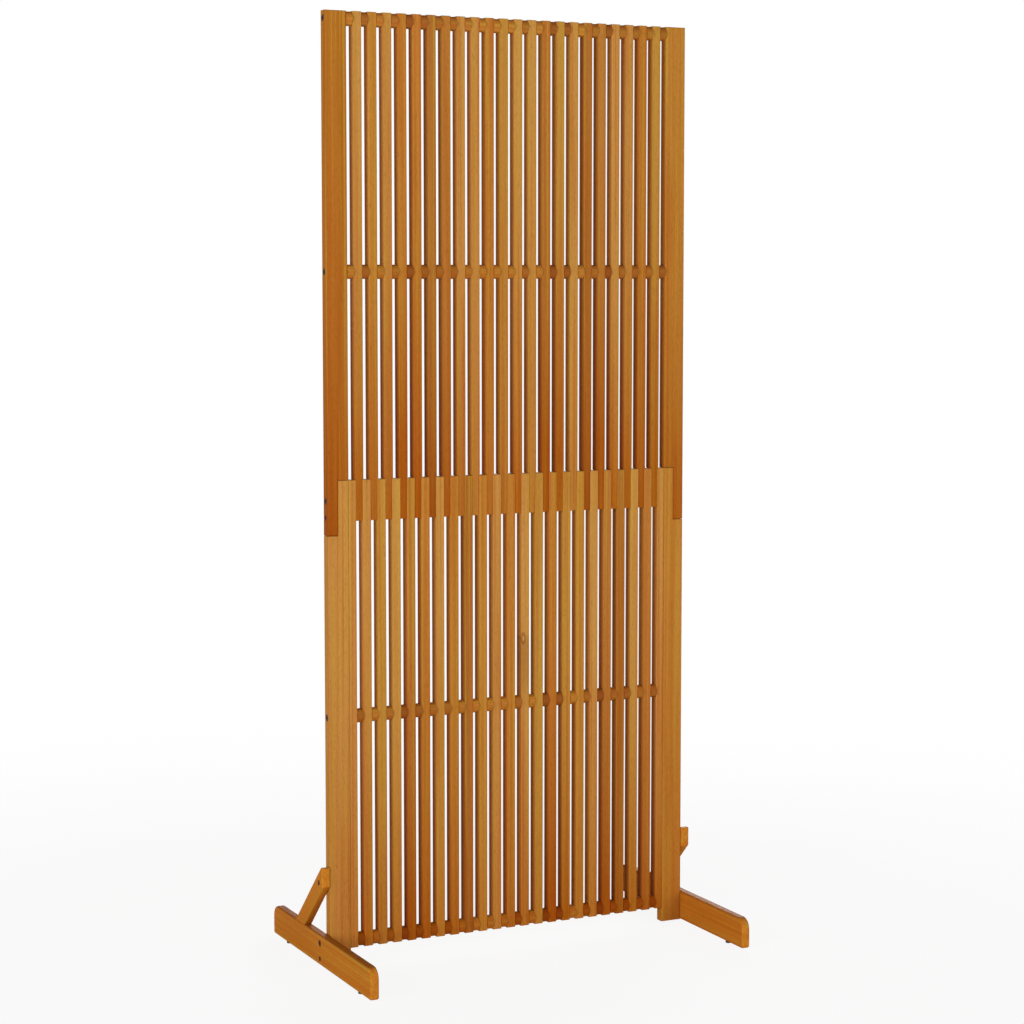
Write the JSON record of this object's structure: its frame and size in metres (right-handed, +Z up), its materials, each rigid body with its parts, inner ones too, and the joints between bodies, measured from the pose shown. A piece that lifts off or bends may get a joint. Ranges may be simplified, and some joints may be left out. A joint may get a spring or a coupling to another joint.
{
  "type": "slatted privacy screen",
  "caption": "Free-standing slatted wooden privacy screen: stacked panels of upright slats with round spacers on steel rods, half-lapped stiles, foot boards and diagonal braces.",
  "frame": {"origin": "on the floor, in the middle of the panel's length and of its thickness", "axes": "+X along the panel to the right seen from the front, +Y to the back, where the braces are, +Z up"},
  "size_m": [0.8004, 0.508, 1.805],
  "materials": {
    "upper_slat_wood": "oiled hardwood, satin",
    "lower_slat_wood": "oiled hardwood, satin",
    "stile_wood": "oiled hardwood, satin",
    "foot_wood": "oiled hardwood, satin",
    "spacer_wood": "oiled hardwood, turned, satin",
    "rod_steel": "zinc plated steel",
    "fastener_steel": "dark bronzed steel",
    "glide_plastic": "dark brown plastic"
  },
  "bodies": {
    "root": {"upper_slat_01": "upper_slat_wood", "upper_slat_02": "upper_slat_wood", "upper_slat_03": "upper_slat_wood", "upper_slat_04": "upper_slat_wood", "upper_slat_05": "upper_slat_wood", "upper_slat_06": "upper_slat_wood", "upper_slat_07": "upper_slat_wood", "upper_slat_08": "upper_slat_wood", "upper_slat_09": "upper_slat_wood", "upper_slat_10": "upper_slat_wood", "upper_slat_11": "upper_slat_wood", "upper_slat_12": "upper_slat_wood", "upper_slat_13": "upper_slat_wood", "upper_slat_14": "upper_slat_wood", "upper_slat_15": "upper_slat_wood", "upper_slat_16": "upper_slat_wood", "upper_slat_17": "upper_slat_wood", "upper_slat_18": "upper_slat_wood", "upper_slat_19": "upper_slat_wood", "upper_slat_20": "upper_slat_wood", "upper_slat_21": "upper_slat_wood", "upper_slat_22": "upper_slat_wood", "lower_slat_01": "lower_slat_wood", "lower_slat_02": "lower_slat_wood", "lower_slat_03": "lower_slat_wood", "lower_slat_04": "lower_slat_wood", "lower_slat_05": "lower_slat_wood", "lower_slat_06": "lower_slat_wood", "lower_slat_07": "lower_slat_wood", "lower_slat_08": "lower_slat_wood", "lower_slat_09": "lower_slat_wood", "lower_slat_10": "lower_slat_wood", "lower_slat_11": "lower_slat_wood", "lower_slat_12": "lower_slat_wood", "lower_slat_13": "lower_slat_wood", "lower_slat_14": "lower_slat_wood", "lower_slat_15": "lower_slat_wood", "lower_slat_16": "lower_slat_wood", "lower_slat_17": "lower_slat_wood", "lower_slat_18": "lower_slat_wood", "lower_slat_19": "lower_slat_wood", "lower_slat_20": "lower_slat_wood", "lower_slat_21": "lower_slat_wood", "lower_fillers": "lower_slat_wood", "upper_stile_left": "stile_wood", "lower_stile_left": "stile_wood", "foot_left": "foot_wood", "brace_left": "foot_wood", "upper_stile_right": "stile_wood", "lower_stile_right": "stile_wood", "foot_right": "foot_wood", "brace_right": "foot_wood", "spacers_top": "spacer_wood", "spacers_upper_middle": "spacer_wood", "spacers_lower_middle": "spacer_wood", "spacers_bottom": "spacer_wood", "tie_rods": "rod_steel", "rod_caps": "fastener_steel", "wood_screws": "fastener_steel", "foot_glides": "glide_plastic"}
  },
  "joints": []
}
